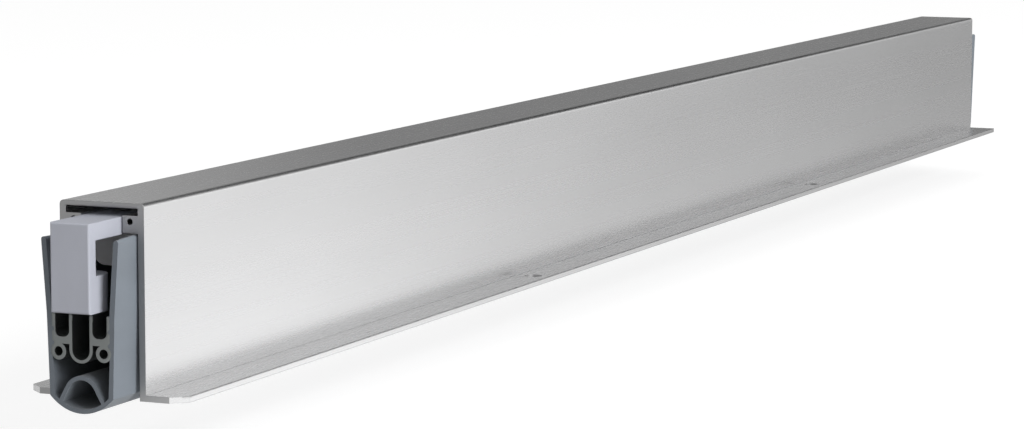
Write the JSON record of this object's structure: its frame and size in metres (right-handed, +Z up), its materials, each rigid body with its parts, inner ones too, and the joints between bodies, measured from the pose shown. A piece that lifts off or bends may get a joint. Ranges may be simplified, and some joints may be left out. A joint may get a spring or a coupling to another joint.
{
  "type": "automatic door bottom seal",
  "caption": "Drop-down door bottom seal: flanged aluminium channel with an end trigger that, when pressed, lowers a rubber bulb seal on levers and lifts it again by spring.",
  "frame": {"origin": "centre of the flange screw pattern at mid-length, on the flange's top face that meets the door", "axes": "+X along the seal away from the trigger, +Y across the door, +Z up into the door's groove"},
  "size_m": [0.4748, 0.0282, 0.0323],
  "materials": {
    "aluminium": "anodised satin",
    "carrier_aluminium": "mill",
    "rubber": "matt",
    "light_plastic": "fine matt",
    "dark_plastic": "fine matt",
    "anchor_plastic": "fine matt",
    "zinc": "die-cast",
    "steel": "bright zinc"
  },
  "bodies": {
    "housing": {"housing": "aluminium", "anchor_front": "anchor_plastic", "anchor_rear": "anchor_plastic", "pivot_pin_front": "steel", "pivot_pin_rear": "steel"},
    "push": {"trigger": "light_plastic", "trigger_screw": "steel", "drive_slider": "dark_plastic", "push_rod": "steel", "rod_pins": "steel", "spring_collar": "zinc", "return_spring": "steel", "yoke_front": "zinc", "yoke_rear": "zinc"},
    "carrier": {"carrier": "carrier_aluminium", "seal": "rubber", "bracket_front": "anchor_plastic", "bracket_rear": "anchor_plastic", "bracket_screws": "steel"},
    "lever_front": {"lever_front": "zinc", "yoke_pin_front": "steel", "lift_pin_front": "steel"},
    "lever_rear": {"lever_rear": "zinc", "yoke_pin_rear": "steel", "lift_pin_rear": "steel"}
  },
  "joints": [
    {"name": "press", "type": "slide", "parent": "housing", "child": "push", "axis": [1, 0, 0], "range_m": [0, 0.0062], "stiffness_N_per_m": 2000, "springref_m": -0.008, "deforming": ["return_spring"]},
    {"name": "lower", "type": "slide", "parent": "housing", "child": "carrier", "axis": [0, 0, -1], "range_m": [0, 0.01]},
    {"name": "swing_front", "type": "hinge", "parent": "housing", "child": "lever_front", "pos_m": [-0.115, 0, 0.01605], "axis": [0, 1, 0], "range_deg": [0, 52]},
    {"name": "swing_rear", "type": "hinge", "parent": "housing", "child": "lever_rear", "pos_m": [0.115, 0, 0.01605], "axis": [0, 1, 0], "range_deg": [0, 52]}
  ],
  "couplings": [
    {"joint": "lower", "follows": "press", "ratio": 1.6129},
    {"joint": "swing_front", "follows": "press", "rad_per_m": 146.38},
    {"joint": "swing_rear", "follows": "press", "rad_per_m": 146.38}
  ]
}
